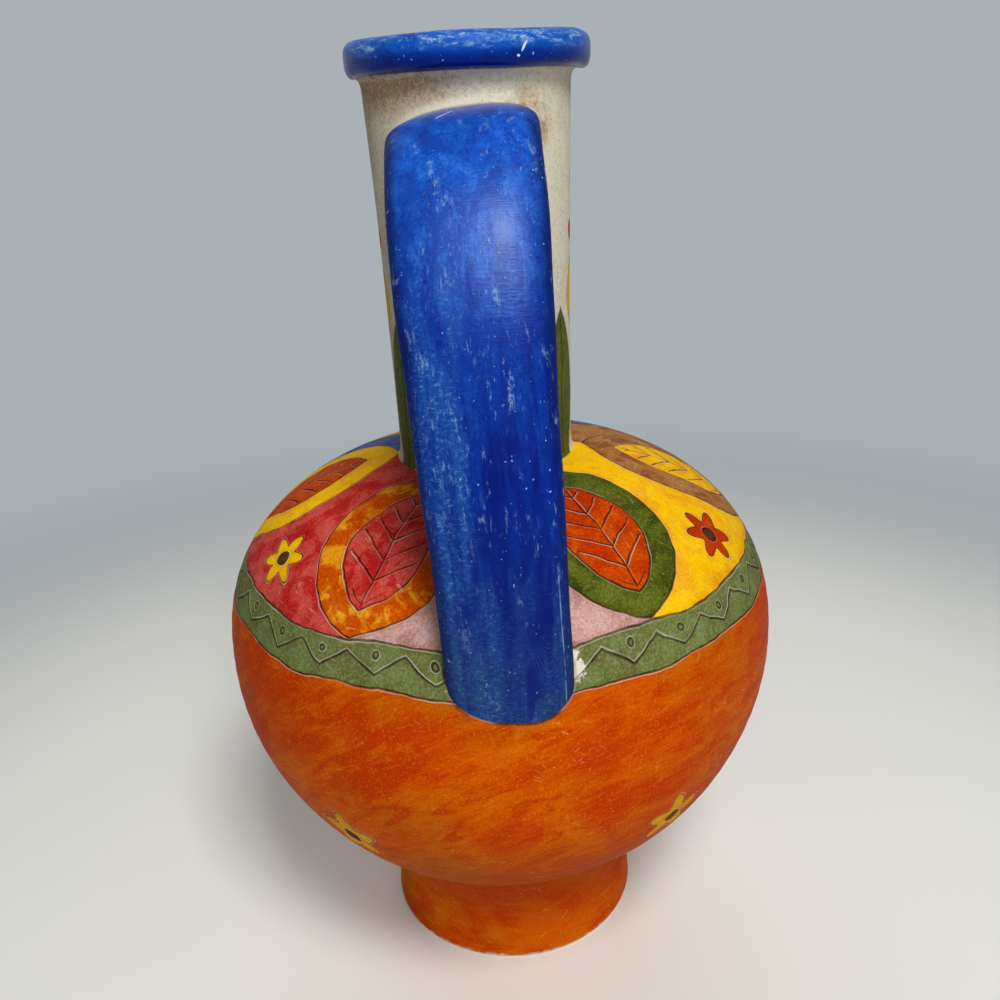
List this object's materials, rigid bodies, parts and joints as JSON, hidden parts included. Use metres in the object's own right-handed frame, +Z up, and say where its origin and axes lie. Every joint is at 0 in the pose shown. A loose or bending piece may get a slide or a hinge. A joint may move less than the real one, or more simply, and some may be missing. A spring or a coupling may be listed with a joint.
{
  "type": "pottery pitcher",
  "caption": "Globe-bellied pottery pitcher on a ring foot, with a straight neck, rolled rim and wide strap handle, for holding and pouring liquid.",
  "frame": {"origin": "on the table at the pitcher's axis, under the middle of the foot ring", "axes": "+Z up along the pitcher's axis, -Y towards the handle, +X to the right of someone facing the handle"},
  "size_m": [0.1834, 0.1834, 0.3],
  "materials": {
    "foot_glaze": "satin",
    "bowl_glaze": "satin",
    "dome_glaze": "satin",
    "neck_glaze": "matte",
    "rim_glaze": "satin",
    "handle_glaze": "satin",
    "foot_coil_glaze": "satin",
    "neck_coil_glaze": "matte",
    "upper_coil_glaze": "matte",
    "lower_coil_glaze": "satin"
  },
  "bodies": {
    "root": {"foot_ring": "foot_glaze", "body_bowl": "bowl_glaze", "body_dome": "dome_glaze", "neck_tube": "neck_glaze", "rim_roll": "rim_glaze", "handle_strap": "handle_glaze", "foot_coil": "foot_coil_glaze", "neck_coil": "neck_coil_glaze", "handle_upper_coil": "upper_coil_glaze", "handle_lower_coil": "lower_coil_glaze"}
  },
  "joints": []
}
